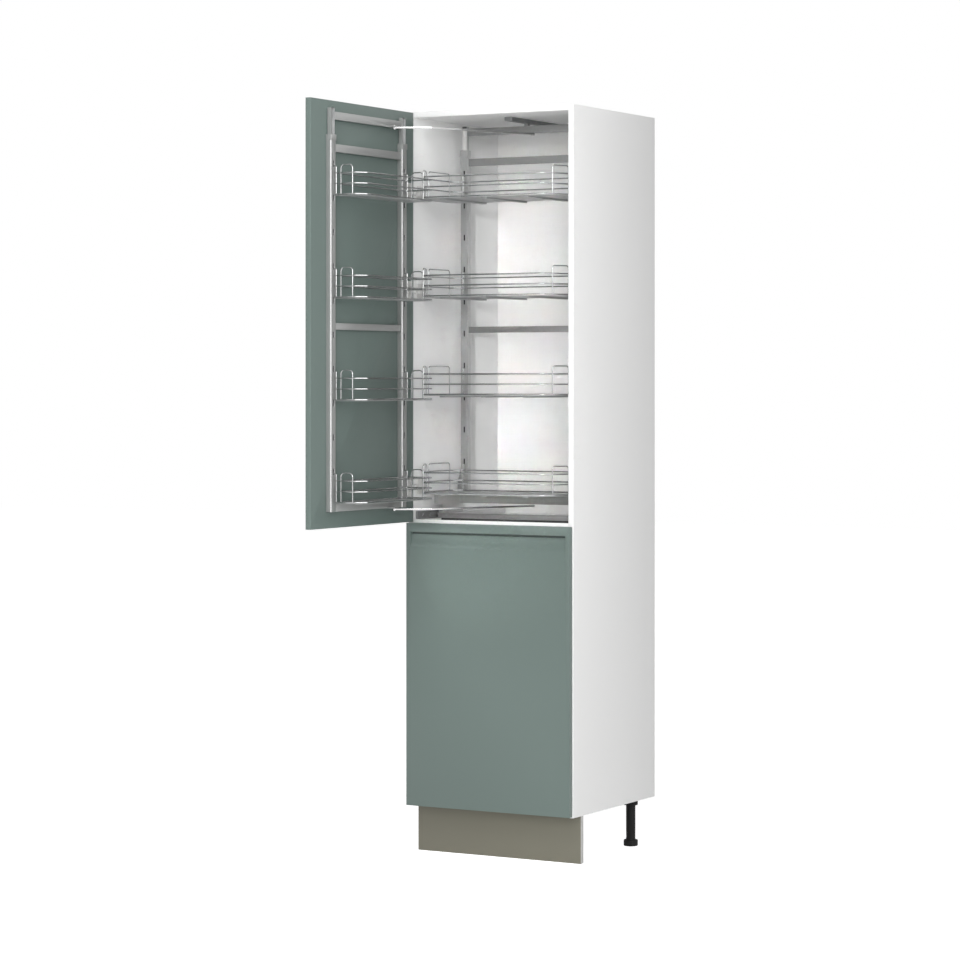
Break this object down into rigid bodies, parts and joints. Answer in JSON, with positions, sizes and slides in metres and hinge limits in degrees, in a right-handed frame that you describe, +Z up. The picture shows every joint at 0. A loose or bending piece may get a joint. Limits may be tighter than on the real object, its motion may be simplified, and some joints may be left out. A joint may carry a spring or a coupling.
{
  "type": "swing-out larder cabinet",
  "caption": "Tall kitchen cabinet whose upper door carries wire shelves and draws a second shelf frame forward as it opens, above a closed lower cupboard.",
  "frame": {"origin": "middle of the plinth board's bottom edge, on the floor, halfway across the cabinet", "axes": "+X to the right seen from the front, +Y back into the cabinet towards the wall, +Z up"},
  "size_m": [0.6, 1.1646, 2.37],
  "materials": {
    "white_board": "white melamine-faced board",
    "door_front": "matt grey-green lacquered front",
    "plinth_board": "matt warm grey board",
    "black_plastic": "matt black moulded plastic",
    "satin_steel": "satin grey lacquered steel",
    "tray_lacquer": "grey lacquered sheet",
    "bright_wire": "bright chrome plate",
    "nickel_hinge": "nickel plate",
    "dark_rail": "dark grey coated steel"
  },
  "bodies": {
    "carcass": {"side_panel_left": "white_board", "side_panel_right": "white_board", "bottom_panel": "white_board", "top_panel": "white_board", "divider_shelf": "white_board", "lower_shelf": "white_board", "back_panel": "white_board", "plinth": "plinth_board", "leg_front_left": "black_plastic", "leg_front_right": "black_plastic", "leg_rear_left": "black_plastic", "leg_rear_right": "black_plastic", "top_rail": "dark_rail", "base_track": "satin_steel", "side_bracket_left": "black_plastic", "side_bracket_right": "black_plastic", "hinge_arm_upper_1": "nickel_hinge", "hinge_arm_upper_2": "nickel_hinge", "hinge_arm_upper_3": "nickel_hinge", "hinge_arm_lower_1": "nickel_hinge", "hinge_arm_lower_2": "nickel_hinge"},
    "upper_door": {"upper_door": "door_front", "hinge_cup_upper_1": "nickel_hinge", "hinge_cup_upper_2": "nickel_hinge", "hinge_cup_upper_3": "nickel_hinge", "door_crossbar_head": "satin_steel", "door_crossbar_upper": "satin_steel", "door_crossbar_middle": "satin_steel", "door_crossbar_foot": "satin_steel", "door_upright_hinge_side": "satin_steel", "door_upright_free_side": "satin_steel", "door_shelf_1_rim": "bright_wire", "door_shelf_1_tray": "tray_lacquer", "door_shelf_2_rim": "bright_wire", "door_shelf_2_tray": "tray_lacquer", "door_shelf_3_rim": "bright_wire", "door_shelf_3_tray": "tray_lacquer", "door_shelf_4_rim": "bright_wire", "door_shelf_4_tray": "tray_lacquer"},
    "lower_door": {"lower_door": "door_front", "hinge_cup_lower_1": "nickel_hinge", "hinge_cup_lower_2": "nickel_hinge"},
    "inner_frame": {"inner_crossbar_head": "satin_steel", "inner_crossbar_upper": "satin_steel", "inner_crossbar_middle": "satin_steel", "inner_upright_left": "satin_steel", "inner_upright_right": "satin_steel", "carriage": "satin_steel", "inner_shelf_1_rim": "bright_wire", "inner_shelf_1_tray": "tray_lacquer", "inner_shelf_2_rim": "bright_wire", "inner_shelf_2_tray": "tray_lacquer", "inner_shelf_3_rim": "bright_wire", "inner_shelf_3_tray": "tray_lacquer", "inner_shelf_4_rim": "bright_wire", "inner_shelf_4_tray": "tray_lacquer"},
    "swing_bar_upper": {"swing_bar_upper": "bright_wire"},
    "swing_bar_lower": {"swing_bar_lower": "bright_wire"}
  },
  "joints": [
    {"name": "upper_door_hinge", "type": "hinge", "parent": "carcass", "child": "upper_door", "pos_m": [-0.29095, -0.07895, 1.7], "axis": [0, 0, 1], "range_deg": [0, 90]},
    {"name": "inner_frame_slide", "type": "slide", "parent": "carcass", "child": "inner_frame", "axis": [0, 1, 0], "range_m": [0, 0.265]},
    {"name": "swing_bar_upper_pivot", "type": "hinge", "parent": "upper_door", "child": "swing_bar_upper", "pos_m": [-0.243, -0.2419, 2.304], "axis": [0, 0, 1], "range_deg": [-75.3, 0]},
    {"name": "swing_bar_lower_pivot", "type": "hinge", "parent": "upper_door", "child": "swing_bar_lower", "pos_m": [-0.243, -0.2419, 1.106], "axis": [0, 0, 1], "range_deg": [-75.3, 0]},
    {"name": "lower_door_hinge", "type": "hinge", "parent": "carcass", "child": "lower_door", "pos_m": [-0.29095, -0.07895, 0.6], "axis": [0, 0, 1], "range_deg": [-110, 0]}
  ],
  "couplings": [
    {"joint": "inner_frame_slide", "follows": "upper_door_hinge", "m_per_rad": 0.1687},
    {"joint": "swing_bar_upper_pivot", "follows": "upper_door_hinge", "ratio": -0.8365},
    {"joint": "swing_bar_lower_pivot", "follows": "upper_door_hinge", "ratio": -0.8365}
  ]
}
